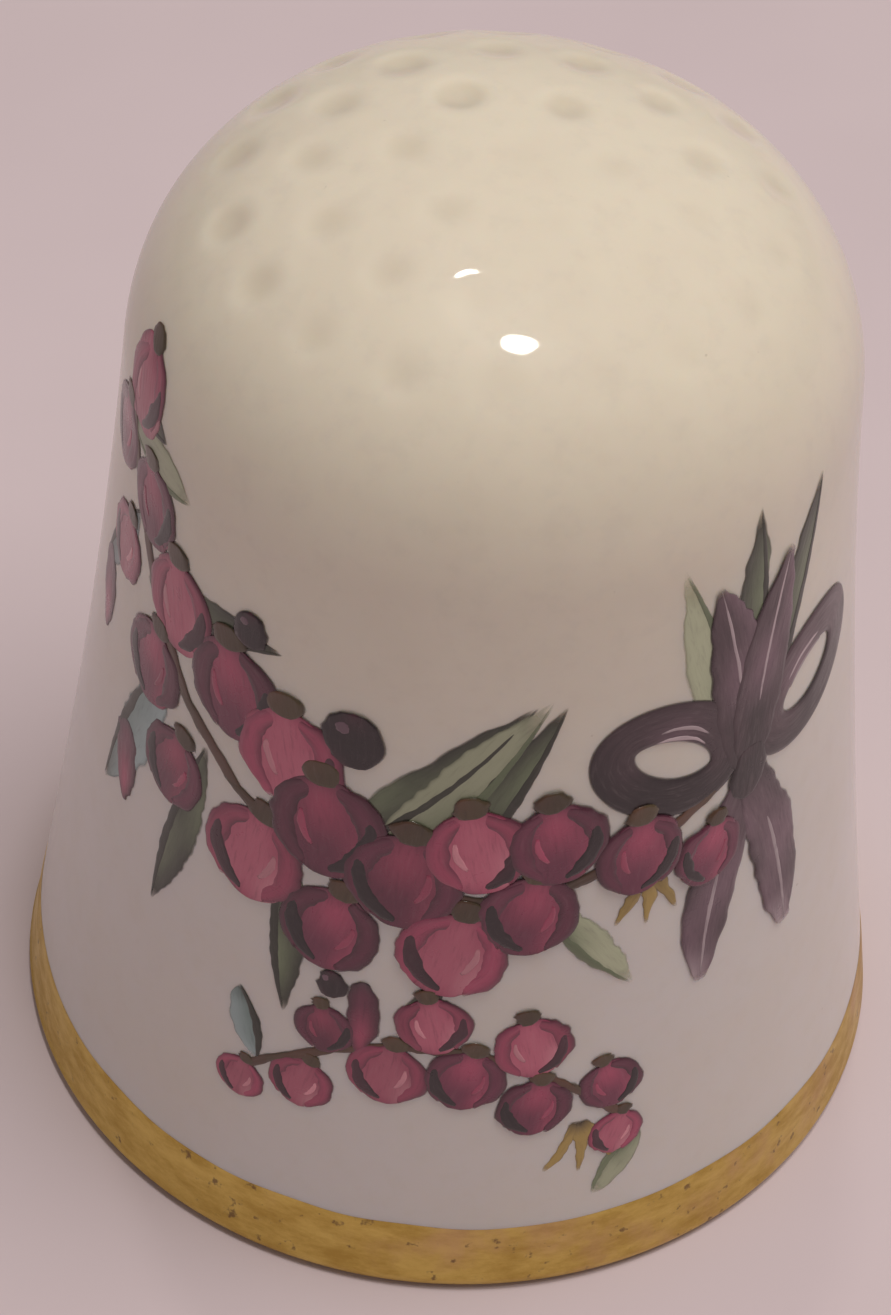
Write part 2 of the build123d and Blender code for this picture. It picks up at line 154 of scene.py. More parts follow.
class Nodes:
    """Short hand for building one material's node tree."""

    def __init__(self, name):
        self.mat = bpy.data.materials.new(name)
        self.mat.use_nodes = True
        self.tree = self.mat.node_tree
        self.tree.nodes.clear()
        self.out = self.tree.nodes.new("ShaderNodeOutputMaterial")
        self.bsdf = self.tree.nodes.new("ShaderNodeBsdfPrincipled")
        self.link(self.bsdf.outputs[0], self.out.inputs[0])

    def link(self, a, b):
        self.tree.links.new(a, b)

    def put(self, socket, value):
        if isinstance(value, bpy.types.NodeSocket):
            self.link(value, socket)
        else:
            socket.default_value = value

    def node(self, kind, **sockets):
        n = self.tree.nodes.new(kind)
        for key, value in sockets.items():
            if hasattr(n, key) and key not in n.inputs:
                setattr(n, key, value)
            else:
                self.put(n.inputs[key], value)
        return n

    def noise(self, vector, scale, detail, rough, distortion=0.0):
        n = self.node("ShaderNodeTexNoise", Scale=scale, Detail=detail, Roughness=rough,
                      Distortion=distortion)
        self.put(n.inputs["Vector"], vector)
        return n.outputs["Fac"]

    def ramp(self, value, low, high, to_low=0.0, to_high=1.0):
        n = self.tree.nodes.new("ShaderNodeMapRange")
        n.interpolation_type = "SMOOTHSTEP"
        for key, v in (("Value", value), ("From Min", low), ("From Max", high),
                       ("To Min", to_low), ("To Max", to_high)):
            self.put(n.inputs[key], v)
        return n.outputs[0]

    def math(self, operation, a, b):
        n = self.tree.nodes.new("ShaderNodeMath")
        n.operation = operation
        self.put(n.inputs[0], a)
        self.put(n.inputs[1], b)
        return n.outputs[0]

    def mix(self, factor, a, b, blend="MIX"):
        n = self.tree.nodes.new("ShaderNodeMix")
        n.data_type = "RGBA"
        n.blend_type = blend
        self.put(n.inputs[0], factor)
        self.put(n.inputs[6], a)
        self.put(n.inputs[7], b)
        return n.outputs[2]

    def position(self):
        return self.tree.nodes.new("ShaderNodeTexCoord").outputs["Object"]

    def stretched(self, vector, scale):
        n = self.tree.nodes.new("ShaderNodeMapping")
        self.put(n.inputs["Vector"], vector)
        n.inputs["Scale"].default_value = scale
        return n.outputs[0]

    def bump(self, height, strength, distance, normal=None):
        n = self.node("ShaderNodeBump", Strength=strength, Distance=distance)
        self.put(n.inputs["Height"], height)
        if normal is not None:
            self.put(n.inputs["Normal"], normal)
        return n.outputs[0]

    def set(self, **values):
        for key, value in values.items():
            self.put(self.bsdf.inputs[key.replace("_", " ")], value)


def srgb(r, g, b):
    """Linear colour of an 8-bit screen colour."""
    def lin(c):
        c /= 255
        return c / 12.92 if c <= 0.04045 else ((c + 0.055) / 1.055) ** 2.4
    return (lin(r), lin(g), lin(b), 1.0)


# ---- glazed china ------------------------------------------------------------------------------
def dimple_field(points):
    """How far each crown point sinks into the dimples, in mm."""
    rng = np.random.default_rng(7)
    sunk = np.zeros(len(points))
    top = table_z > SHOULDER_Z
    for ring_r, count, first in DIMPLE_RINGS:
        z = np.interp(-ring_r, -table_r[top], table_z[top])
        for k in range(count):
            turn = math.radians(first + 360 * k / count + rng.uniform(-TURN_STRAY, TURN_STRAY))
            reach = ring_r + rng.uniform(-RING_STRAY, RING_STRAY)
            size = DIMPLE_R * rng.uniform(*SIZE_SPREAD)
            away = 0.5 - 0.5 * math.cos(turn + GLAZE_RUN)        # 0 where the glaze ran and filled
            deep = DIMPLE_DEEP * (FILLED + (OPEN - FILLED) * away) * rng.uniform(*DEPTH_SPREAD)
            centre = np.array([reach * math.sin(turn), -reach * math.cos(turn), z])
            gap = np.linalg.norm(points - centre, axis=1) / size
            dish = np.cos(gap * np.pi / 2) ** 2 * (1 + DISH * gap ** 2)
            sunk += deep * np.where(gap < 1, dish, 0)
            sunk -= deep * LIP_RISE * np.exp(-((gap - LIP_AT) / LIP_SPREAD) ** 2)
    return sunk


def china_profile():
    """From the apex down the outside, round the bare foot ring and up the inside."""
    outer_r, outer_z = wall_curve(FOOT_R, SHOULDER_R, SHOULDER_Z, HEIGHT, WALL_ROWS,
                                  CROWN_ROWS)
    foot = FOOT_R - GLAZE - WALL
    inner_r, inner_z = wall_curve(foot - GLAZE, INNER_SHOULDER_R - GLAZE, INNER_SHOULDER_Z,
                                  HEIGHT - GLAZE - CROWN_WALL - GLAZE, INNER_ROWS, INNER_ROWS)
    down = outer_z > CORNER
    r, z = outer_r[down][::-1], outer_z[down][::-1]
    r[0] = APEX_R
    corner = np.linspace(0, np.pi / 2, CORNER_ROWS)[1:]
    out_r = np.interp(CORNER, outer_z, outer_r) - CORNER * (1 - np.cos(corner))
    out_z = CORNER * (1 - np.sin(corner))
    hollow_r = np.interp(CORNER, inner_z, inner_r)
    in_r = hollow_r + CORNER * (1 - np.sin(corner[:-1]))
    in_z = CORNER * (1 - np.cos(corner[:-1]))
    flat = np.linspace(out_r[-1], in_r[0], CORNER_ROWS)[1:-1]
    up = inner_z > CORNER
    up_r, up_z = inner_r[up].copy(), inner_z[up]
    up_r[-1] = APEX_R
    radii = np.concatenate([r, out_r, flat, in_r, up_r])
    heights = np.concatenate([z, out_z, 0 * flat, in_z, up_z])
    return radii, heights, len(r)


def build_china():
    """The whole china body, glazed all over but for the bare foot ring."""
    columns = 384
    radii, heights, outer_rows = china_profile()
    turn = np.linspace(0, 360, columns, endpoint=False)
    rows = len(radii)
    a = np.radians(turn)[None, :]
    nr, nz = -np.gradient(heights), np.gradient(radii)
    size = np.hypot(nr, nz) + 1e-12
    nr, nz = nr / size, nz / size
    r, z = radii[:, None] + 0 * a, heights[:, None] + 0 * a
    points = np.stack([r * np.sin(a), -r * np.cos(a), z], -1).reshape(-1, 3)
    normals = np.stack([nr[:, None] * np.sin(a), -nr[:, None] * np.cos(a), nz[:, None] + 0 * a],
                       -1).reshape(-1, 3)
    outside = np.arange(len(points)) < outer_rows * columns
    push = np.where(outside, wobble(np.tile(turn, rows), points[:, 2]), 0)
    push *= np.clip(np.hypot(points[:, 0], points[:, 1]) / CALM_R, 0, 1)
    push *= np.clip(points[:, 2] / CALM_Z, 0, 1)
    high = outside & (points[:, 2] > SHOULDER_Z)
    sunk = np.zeros(len(points))
    sunk[high] = dimple_field(points[high])
    push -= sunk
    points = (points + normals * push[:, None]) * UNIT
    faces = []
    for i in range(rows - 1):
        for j in range(columns):
            k = (j + 1) % columns
            faces.append((i * columns + j, (i + 1) * columns + j, (i + 1) * columns + k,
                          i * columns + k))
    faces.append(tuple(range(columns)))                                          # the apex
    faces.append(tuple(reversed(range((rows - 1) * columns, rows * columns))))    # the hollow's roof
    obj = new_object("glazed_china", points, faces)
    pooled_glaze_and_shade = obj.data.attributes.new("pooled_glaze_and_shade", "FLOAT", "POINT")     # glaze gathers in the dimples; their darker tone is partly painted shade
    pooled_glaze_and_shade.data.foreach_set("value", np.clip(sunk / DIMPLE_DEEP, 0, 1).astype(np.float32))
    for i in range(rows - 1):
        if max(heights[i], heights[i + 1]) < BARE_BELOW:
            for j in range(columns):
                obj.data.polygons[i * columns + j].material_index = 1
    return obj


def china_material():
    m = Nodes("glazed_china")
    p = m.position()
    height = m.tree.nodes.new("ShaderNodeSeparateXYZ")
    m.link(p, height.inputs[0])
    # Painted light from above: the china runs from a cooler, darker tone low on the wall to a lighter,
    # warmer one at the crown.
    up = m.ramp(height.outputs["Z"], 9.0 * MM, 26.0 * MM)
    cloud = m.noise(p, 170.0, 5.0, 0.6)
    fine = m.noise(p, 1500.0, 3.0, 0.6)
    speck = m.noise(p, 3200.0, 2.0, 0.5)
    lit_crown_tone, shaded_low_tone = srgb(238, 228, 208), srgb(224, 217, 212)
    base = m.mix(up, shaded_low_tone, lit_crown_tone)
    base = m.mix(m.ramp(cloud, 0.35, 0.75, 0.0, 0.35), base, srgb(222, 209, 190))
    base = m.mix(m.ramp(fine, 0.45, 0.8, 0.0, 0.22), base, srgb(214, 204, 190))
    base = m.mix(m.ramp(speck, 0.76, 0.84, 0.0, 0.35), base, srgb(150, 132, 112))
    # Darker in the dimples by their depth: partly glaze pooling, partly painted shade in the recesses.
    pooled_glaze_and_shade = m.node("ShaderNodeAttribute", attribute_name="pooled_glaze_and_shade").outputs["Fac"]
    base = m.mix(m.ramp(pooled_glaze_and_shade, 0.1, 1.0, 0.0, 0.25), base, srgb(196, 180, 150))
    m.set(Base_Color=base, Roughness=m.ramp(cloud, 0.3, 0.7, 0.36, 0.46))
    m.set(Subsurface_Weight=0.35, Subsurface_Scale=0.0012, IOR=1.5)
    m.bsdf.inputs["Subsurface Radius"].default_value = (1.0, 0.7, 0.45)
    m.set(Coat_Weight=0.7, Coat_Roughness=0.05, Coat_IOR=1.5)
    soft = m.bump(m.noise(p, 420.0, 2.0, 0.5), 0.05, 0.0001)
    m.set(Normal=soft, Coat_Normal=m.bump(m.noise(p, 620.0, 2.0, 0.5), 0.04, 0.0001))
    return m.mat


def biscuit_material():
    m = Nodes("bare_biscuit")
    p = m.position()
    grain = m.noise(p, 2600.0, 6.0, 0.65)
    rub = m.noise(p, 350.0, 4.0, 0.6)
    base = m.mix(m.ramp(grain, 0.35, 0.7, 0.0, 0.5), srgb(222, 214, 200), srgb(200, 190, 172))
    base = m.mix(m.ramp(rub, 0.5, 0.75, 0.0, 0.5), base, srgb(172, 160, 142))
    m.set(Base_Color=base, Roughness=m.ramp(rub, 0.3, 0.7, 0.75, 0.9))
    m.set(Normal=m.bump(grain, 0.4, 0.00006))
    return m.mat


china_piece = build_china()
china_piece.data.materials.append(china_material())
china_piece.data.materials.append(biscuit_material())
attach(china_piece, "root")
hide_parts("china_body", "outer_glaze", "inner_glaze")


# ---- gilt band ---------------------------------------------------------------------------------
GILT_FILM = 0.03                               # how proud the band stands of the china
GILT_WAVES, GILT_WAVER, GILT_CALMING = 26, 0.035, 0.55         # the hand-brushed upper edge
GILT_UNDER = 0.2                               # share of the film that shows under the foot
GILT_THIN, GILT_THIN_LATE = 0.9, 14            # how much, and how late, it thins at the upper edge
GILT_CLEAR = 0.01                              # how far it keeps off the table, in mm


def build_gilt():
    columns, rows = 480, 22
    turn = np.linspace(0, 360, columns, endpoint=False)
    rng = np.random.default_rng(11)
    a = np.radians(turn)
    edge = 0
    for k in range(2, GILT_WAVES):
        sway = rng.normal(0, GILT_WAVER / k ** GILT_CALMING)
        edge = edge + sway * np.sin(k * a + rng.uniform(0, 6.28))
    top = GILT_TOP + edge
    verts = []
    corner = np.linspace(np.pi / 2, 0, 7)
    edge_r = np.interp(CORNER, table_z, table_r)
    for c in corner:                             # wrapped under the foot's rounded corner
        r = edge_r - CORNER * (1 - np.cos(c)) + GILT_FILM * np.cos(c)
        z = CORNER * (1 - np.sin(c)) - GILT_FILM * GILT_UNDER * np.sin(c) + GILT_CLEAR
        verts.append(np.stack([r * np.sin(a), -r * np.cos(a), z + 0 * a], -1) * UNIT)
    for i in range(rows):
        t = (i + 1) / rows
        z = CORNER + (top - CORNER) * t
        film = GILT_FILM * (1 - GILT_THIN * t ** GILT_THIN_LATE)
        verts.append(on_wall(turn, z, film + 0 * z))
    total = len(verts)
    verts = np.concatenate(verts)
    faces = []
    for i in range(total - 1):
        for j in range(columns):
            k = (j + 1) % columns
            faces.append((i * columns + j, i * columns + k, (i + 1) * columns + k,
                          (i + 1) * columns + j))
    obj = new_object("gilt_band", verts, faces)
    uv = obj.data.uv_layers.new(name="round")
    loops = np.zeros(len(obj.data.loops), int)
    obj.data.loops.foreach_get("vertex_index", loops)
    u = (loops % columns) / columns
    v = (loops // columns) / total
    uv.data.foreach_set("uv", np.stack([u, v], -1).ravel())
    return obj


def gilt_material():
    m = Nodes("worn_gilt")
    p = m.position()
    brush = m.noise(m.stretched(p, (1.0, 1.0, 2.6)), 700.0, 6.0, 0.7)
    patch = m.noise(p, 260.0, 5.0, 0.6)
    pits = m.noise(p, 2200.0, 3.0, 0.6)
    gold, ochre, brown = srgb(221, 192, 107), srgb(196, 162, 80), srgb(108, 69, 38)
    base = m.mix(m.ramp(brush, 0.3, 0.72), gold, ochre)
    base = m.mix(m.ramp(patch, 0.52, 0.72, 0.0, 0.6), base, srgb(209, 168, 130))
    base = m.mix(m.ramp(pits, 0.62, 0.72, 0.0, 0.75), base, brown)
    m.set(Base_Color=base, Metallic=m.ramp(pits, 0.6, 0.72, 0.85, 0.3))
    m.set(Roughness=m.ramp(brush, 0.3, 0.7, 0.34, 0.52))
    m.set(Normal=m.bump(brush, 0.35, 0.00005, m.bump(pits, 0.25, 0.00003)))
    return m.mat


gilt_piece = build_gilt()
gilt_piece.data.materials.append(gilt_material())
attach(gilt_piece, "root")
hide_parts("gilt_foot_band")


# ---- painted enamels -----------------------------------------------------------------------------
# Colours as they look on the shaded wall; PAINT_GAIN turns them into the pigment's own colour.
PAINT_GAIN = 1.55
PALETTE = {
    "K": (36, 25, 28), "D": (62, 28, 40), "P": (92, 38, 58), "M": (140, 58, 82),
    "R": (158, 82, 100), "S": (176, 116, 126), "A": (62, 44, 50), "V": (98, 74, 84),
    "L": (150, 134, 138), "B": (76, 50, 36), "O": (146, 122, 64), "G": (42, 44, 34),
    "E": (98, 108, 82), "F": (148, 152, 126), "T": (98, 116, 112), "U": (134, 150, 150),
    "C": (64, 52, 34),
}
THIN = 0.52                                    # opacity of a lower-case letter's wash
PAINT_THICK, WASH_THICK = 0.012, 0.008         # a loaded touch and a thin one stand proud, in mm
PAINT_BASE, PAINT_STEP = 0.004, 0.0025         # lift of the first coat and of each coat over it
RIM_SPREAD, RIM_DARK = 0.16, 0.28              # the darker line round a dried touch
LOAD = (0.82, 1.22)                            # how full the brush is from touch to touch
MESH_STEP, ROW_STEP = 0.11, 0.10               # spacing of a touch's columns and rows, in mm
MESH_COLUMNS, STROKE_ROWS, DAB_ROWS = (6, 26), (12, 90), (12, 40)    # fewest and most
RAG, DAB_RAG, GRASS_RAG = 0.035, 0.045, 0.04   # how raggedly a touch's edge wavers, in mm
FULL_RAG = 0.25                                # half-width, in mm, from which it wavers fully
FEWEST_WAVES, ROWS_PER_WAVE = 4, 5
SWELL_RUN = 6                                  # a touch swells over the first and last 1/6 of it
DOME, EDGE_FADE = 0.7, 0.8                     # powers: how flat it is on top, how soft its edge
THINNEST_STROKE, THINNEST_DAB = 0.02, 0.012    # least width, and least half-width, in mm
OVAL, POINT_DEPTH, POINT_CURVE = 0.92, 0.9, 1.6  # the outline of a dab and of its pointed end
coats = {}
laid = []                                      # boxes and levels of the touches so far
brush_rng = np.random.default_rng(2024)


def paint_grid(picture, t, u):
    """Linear colour and opacity of a little letter picture, rows first, at 0..1 positions."""
    rows = picture.split("/")
    grid = []
    wide = max(len(r) for r in rows)
    for r in rows:
        cells = []
        for letter in r:
            tone = srgb(*PALETTE[letter.upper()])[:3]
            cells.append([*tone, 1.0 if letter.isupper() else THIN])
        cells = np.array(cells)
        at = np.linspace(0, 1, len(cells)) if len(cells) > 1 else np.zeros(1)
        grid.append(np.stack([np.interp(np.linspace(0, 1, wide), at, cells[:, c])
                              for c in range(4)], -1))
    grid = np.array(grid)

    def ease(x, count):
        x = np.clip(x, 0, 1) * (count - 1)
        low = np.minimum(x.astype(int), max(count - 2, 0))
        f = x - low
        return low, np.minimum(low + 1, count - 1), f * f * (3 - 2 * f)

    i0, i1, fi = ease(t, len(grid))
    j0, j1, fj = ease(u, wide)
    fi, fj = fi[..., None], fj[..., None]
    top = grid[i0, j0] * (1 - fj) + grid[i0, j1] * fj
    bottom = grid[i1, j0] * (1 - fj) + grid[i1, j1] * fj
    return top * (1 - fi) + bottom * fi


def smooth_path(points, count, closed):
    """A rounded line through given points, evenly divided."""
    p = np.array(points, float)
    if closed:
        p = np.concatenate([p[-1:], p, p[:2]])
    else:
        p = np.concatenate([2 * p[:1] - p[1:2], p, 2 * p[-1:] - p[-2:-1]])
    out = []
    for i in range(1, len(p) - 2):
        s = np.linspace(0, 1, 40, endpoint=False)[:, None]
        a, b, c, d = p[i - 1], p[i], p[i + 1], p[i + 2]
        out.append(0.5 * (2 * b + (c - a) * s + (2 * a - 5 * b + 4 * c - d) * s ** 2
                          + (3 * b - a - 3 * c + d) * s ** 3))
    out.append(p[-2:-1])
    out = np.concatenate(out)
    step = np.hypot(np.diff(out[:, 0]), np.diff(out[:, 1]))
    run = np.concatenate([[0], np.cumsum(step)])
    at = np.linspace(0, run[-1], count)
    return np.stack([np.interp(at, run, out[:, k]) for k in range(p.shape[1])], -1)


def ragged(t, size, waves):
    """A seeded wavering of a touch's edge."""
    value = np.zeros_like(t)
    for k in range(1, waves):
        value += brush_rng.normal(0, 1 / k ** 0.7) * np.sin(6.283 * k * t + brush_rng.uniform(0, 6.3))
    return size * value


def lay_touch(coat, mid, half, picture, thick, rag, soft, closed, flip=False):
    """One touch of the brush: mid is a line in mm (round the wall, up), half its half-width."""
    rows = len(mid)
    across = int(np.clip(half.max() * 2 / MESH_STEP, *MESH_COLUMNS)) + 1
    t = np.linspace(0, 1, rows)
    d = np.gradient(mid, axis=0)
    if closed:
        d[0] = d[-1] = (mid[1] - mid[0] + mid[-1] - mid[-2]) / 2
    d /= np.linalg.norm(d, axis=1)[:, None] + 1e-9
    left = np.stack([-d[:, 1], d[:, 0]], -1)
    waves = FEWEST_WAVES + int(rows / ROWS_PER_WAVE)
    waver = (0 if closed else 1) * np.minimum(half / FULL_RAG, 1)
    one, two = (half + waver * ragged(t, rag, waves) for _ in range(2))
    v = np.linspace(-1, 1, across)
    reach = np.where(v[None, :] < 0, one[:, None], two[:, None]) * -v[None, :]
    xy = mid[:, None, :] + left[:, None, :] * reach[..., None]
    u = (v + 1) / 2
    tt, uu = np.meshgrid(t, u, indexing="ij")
    colour = paint_grid(picture, tt, 1 - uu if flip else uu)
    rim = np.exp(-((1 - np.abs(v)) / RIM_SPREAD) ** 2)[None, :, None]      # pigment dries darker there
    colour[..., :3] *= brush_rng.uniform(*LOAD) * (1 - RIM_DARK * rim)
    dome = np.sqrt(np.clip(1 - v ** 2, 0, 1))[None, :] ** DOME
    end = np.ones(rows) if closed else np.clip(np.minimum(t, 1 - t) * SWELL_RUN, 0, 1)
    swell = dome * np.sqrt(end)[:, None]
    edge = np.clip((1 - np.abs(v)) / max(soft, 1e-3), 0, 1)[None, :] * (
        1 if closed else np.clip(np.minimum(t, 1 - t) / max(soft * 0.5, 1e-3), 0, 1)[:, None])
    colour[..., 3] *= edge ** EDGE_FADE
    z = xy[..., 1]
    azimuth = np.degrees(xy[..., 0] / np.interp(z, table_z, table_r))
    box = (azimuth.min(), azimuth.max(), z.min(), z.max())
    level = 0
    for other, other_level in laid:              # over every earlier touch whose box it meets
        if box[0] < other[1] and other[0] < box[1] and box[2] < other[3] and other[2] < box[3]:
            level = max(level, other_level + 1)
    laid.append((box, level))
    lift = PAINT_BASE + PAINT_STEP * level + thick * swell
    lift = np.where(edge + 0 * lift < 1e-6, PAINT_BASE, lift)
    points = on_wall(azimuth.ravel(), z.ravel(), lift.ravel())
    store = coats.setdefault(coat, {"v": [], "f": [], "c": [], "uv": [], "n": 0})
    n0 = store["n"]
    for i in range(rows - 1):
        for j in range(across - 1):
            a = n0 + i * across + j
            store["f"].append((a, a + across, a + across + 1, a + 1))
    store["v"].append(points)
    store["c"].append(colour.reshape(-1, 4))
    run = np.concatenate([[0], np.cumsum(np.linalg.norm(np.diff(mid, axis=0), axis=1))])
    shift = brush_rng.uniform(0, 50, 2)
    uv = np.stack([reach + shift[0], np.broadcast_to(run[:, None] + shift[1], reach.shape)], -1)
    store["uv"].append(uv.reshape(-1, 2))
    store["n"] += len(points)


def to_mm(points):
    """(azimuth, height) pairs as (mm round the wall, height)."""
    p = np.array(points, float)
    r = np.interp(p[:, 1], table_z, table_r)
    return np.stack([np.radians(p[:, 0]) * r, p[:, 1]], -1)


def stroke(coat, points, widths, picture, thick=PAINT_THICK, rag=RAG, soft=0.3, closed=False):
    """A drawn stroke along points; picture rows run along it, its letters from left to right."""
    mm = to_mm(points)
    widths = np.broadcast_to(np.array(widths, float), (len(mm),))
    rough_len = np.hypot(*np.diff(mm, axis=0).T).sum()
    count = int(np.clip(rough_len / ROW_STEP, *STROKE_ROWS))
    line = smooth_path(np.concatenate([mm, widths[:, None]], 1), count, closed)
    half = np.maximum(line[:, 2], THINNEST_STROKE) / 2
    if not closed:
        t = np.linspace(0, 1, count)
        cap = np.clip(np.minimum(t, 1 - t) * rough_len / np.maximum(half, 0.05), 0, 1)
        half = half * np.sqrt(1 - (1 - cap) ** 2 + 1e-4)
    lay_touch(coat, line[:, :2], half, picture, thick, rag, soft, closed)


def dab(coat, azimuth, z, wide, tall, tilt, picture, soft=0.22, point=0.0):
    """An oval touch; picture rows run from its top to its bottom, letters from left to right.
    tilt leans it anticlockwise; point sharpens its lower end (or its upper end if negative)."""
    centre = to_mm([(azimuth, z)])[0]
    lean = math.radians(tilt)
    axis = np.array([-math.sin(lean), math.cos(lean)])
    count = int(np.clip(tall / ROW_STEP, *DAB_ROWS))
    t = np.linspace(0, 1, count)
    along = np.cos(t * np.pi)                   # closer rows at the two ends
    mid = centre + axis * along[:, None] * tall / 2
    half = wide / 2 * np.sqrt(np.clip(1 - along ** 2, 0, 1)) ** OVAL
    nearing = np.clip((1 - along * np.sign(point or 1)) / 2, 0, 1) ** POINT_CURVE
    half *= 1 - abs(point) * nearing * POINT_DEPTH
    lay_touch(coat, mid, np.maximum(half, THINNEST_DAB), picture, PAINT_THICK, DAB_RAG, soft, False,
              flip=True)


# ---- the spray: generic bells, buds, leaves and a bow, laid out as in the CAD --------------------
PAINT_R = 10.3                                   # about the wall's radius where it is painted, mm
DEGREE = math.radians(1.0) * PAINT_R             # mm round the wall for one degree of azimuth
GARLAND = ((-72.0, 24.5), (-48.0, 12.5), (2.0, 11.5), (42.0, 16.0))
LOW_SPRIG = ((-31.0, 5.6), (-12.0, 9.6), (10.0, 10.2), (29.0, 5.0))
BELLS = (                 # curve, share of its run, mm to its left, width, lean, colour
    (GARLAND, 0.02, 0.9, 2.1, 12.0, "rose"), (GARLAND, 0.06, -0.9, 2.0, -10.0, "plum"),
    (GARLAND, 0.11, 1.0, 2.1, 15.0, "plum"), (GARLAND, 0.15, -1.5, 1.9, -14.0, "rose"),
    (GARLAND, 0.20, 1.3, 2.4, 10.0, "rose"), (GARLAND, 0.25, -1.0, 2.2, -8.0, "plum"),
    (GARLAND, 0.30, 2.2, 2.6, 12.0, "plum"), (GARLAND, 0.34, -1.9, 2.1, -16.0, "plum"),
    (GARLAND, 0.41, 2.4, 2.7, 10.0, "rose"), (GARLAND, 0.45, -1.2, 2.6, -10.0, "rose"),
    (GARLAND, 0.50, 1.3, 2.8, 8.0, "plum"), (GARLAND, 0.55, -1.8, 2.4, -14.0, "plum"),
    (GARLAND, 0.61, 0.6, 2.7, -5.0, "plum"), (GARLAND, 0.67, -1.6, 2.5, -12.0, "rose"),
    (GARLAND, 0.70, 1.8, 2.4, 12.0, "rose"), (GARLAND, 0.75, -0.5, 2.3, -8.0, "plum"),
    (GARLAND, 0.80, 1.6, 2.3, 10.0, "plum"), (GARLAND, 0.88, 0.0, 2.2, 0.0, "plum"),
    (GARLAND, 0.94, -1.6, 1.8, -12.0, "plum"), (LOW_SPRIG, 0.04, -0.3, 1.2, -10.0, "rose"),
    (LOW_SPRIG, 0.16, -0.9, 1.5, -14.0, "rose"), (LOW_SPRIG, 0.28, 0.6, 1.4, 10.0, "plum"),
    (LOW_SPRIG, 0.38, -1.0, 1.8, -8.0, "rose"), (LOW_SPRIG, 0.50, 0.7, 1.7, 12.0, "rose"),
    (LOW_SPRIG, 0.60, -1.0, 1.8, -12.0, "plum"), (LOW_SPRIG, 0.70, 0.6, 1.8, 10.0, "rose"),
    (LOW_SPRIG, 0.80, -1.1, 1.7, -10.0, "plum"), (LOW_SPRIG, 0.88, 0.5, 1.5, 15.0, "plum"),
    (LOW_SPRIG, 0.97, -0.5, 1.3, -15.0, "rose"),
)
# A bell's parts, all in shares of its width
BELL_TALL = 1.12
CRESCENT_WIDTHS, CRESCENT_BOW = (0.05, 0.2, 0.26, 0.2, 0.05), 0.16
CRESCENT_FOOT, CRESCENT_HEAD = (-0.05, -0.50), (0.45, 0.22)
PETAL, PETAL_WIDTHS = ((0.05, 0.5), (0.36, 0.25), (0.42, -0.15), (0.2, -0.5)), (0.12, 0.3, 0.3, 0.1)
SHINE_TOP, SHINE_FOOT, SHINE_BOW = (-0.22, 0.2), (-0.12, -0.25), 0.06
SHINE_WIDTHS = (0.03, 0.09, 0.12, 0.09, 0.03)
CAP_WIDTH, CAP_TALL, CAP_RISE = 0.44, 0.28, 0.60
BUDS = ((GARLAND, 0.19, -3.6, 1.3), (GARLAND, 0.32, -4.3, 1.4), (GARLAND, 0.60, -4.3, 1.1))
BUD_TALL = 2.5
BERRY_SHINE_AT, BERRY_SHINE_SIZE, BERRY_SHINE_LEAN = (-0.18, 0.2), (0.3, 0.22), 20.0
BERRIES = ((GARLAND, 0.47, 4.3, 1.7), (GARLAND, 0.24, 4.0, 1.1), (LOW_SPRIG, 0.33, 2.0, 0.9))
LEAVES = (                # curve, share where it springs, side, length, width, colour
    (GARLAND, 0.02, 1, 2.6, 0.8, "green"), (GARLAND, 0.12, -1, 4.2, 1.1, "blue"),
    (GARLAND, 0.17, 1, 5.4, 1.1, "green"), (GARLAND, 0.25, -1, 6.6, 1.6, "blue"),
    (GARLAND, 0.34, -1, 6.4, 1.1, "green"), (GARLAND, 0.50, 1, 8.2, 1.2, "green"),
    (GARLAND, 0.56, 1, 8.0, 1.6, "pale"), (GARLAND, 0.64, 1, 7.2, 1.1, "green"),
    (GARLAND, 0.05, 1, 3.6, 1.4, "pale"), (GARLAND, 0.47, -1, 5.6, 1.1, "green"),
    (LOW_SPRIG, 0.10, 1, 2.4, 0.9, "blue"), (LOW_SPRIG, 0.44, 1, 2.8, 0.7, "green"),
    (LOW_SPRIG, 0.99, -1, 2.4, 0.9, "pale"), (GARLAND, 0.76, -1, 4.4, 1.0, "pale"),
)
LEAF_SPREAD = 64.0
LEAF_TAPER, LEAF_TIP = (0.15, 0.8, 1.0, 0.7), 0.08     # widths for its width, and its point in mm
EDGE_WIDTHS = (0.08, 0.22, 0.3, 0.2, 0.06)             # the shaded edge, in mm
GRASS = ((GARLAND, 0.53, -1.0), (LOW_SPRIG, 0.90, -0.8), (GARLAND, 0.88, -0.6))
GRASS_LENGTH = 1.9
GRASS_FAN = (-28.0, 0.0, 28.0)
GRASS_WIDTHS, GRASS_BOW = (0.3, 0.42, 0.38, 0.25, 0.1), 0.05
GARLAND_STEM, SPRIG_STEM = 0.45, 0.32                  # stem widths
GARLAND_PIECES, SPRIG_PIECES = 10, 7                   # strokes along each stem
STEM_OVERLAP = 0.3                                     # of a stroke, past each of its ends
STEM_TAPER = (0.4, 0.9, 1.0, 0.8, 0.3)
# The bow of a leaf, its shaded edge and a stem stroke is the leaf's or stem's width over these
LEAF_FLATNESS, EDGE_FLATNESS, STEM_FLATNESS = 7, 4, 9
KNOT = (46.0, 15.8)
KNOT_WIDTH, KNOT_TALL = 1.4, 1.7
TAIL_BEND, END_BEND = 0.3, 0.2
TAIL_TAPER, END_TAPER = (0.5, 0.85, 1.0, 0.85, 0.2), (0.4, 0.9, 1.0, 0.75, 0.1)
LOOP_POINTS = 12
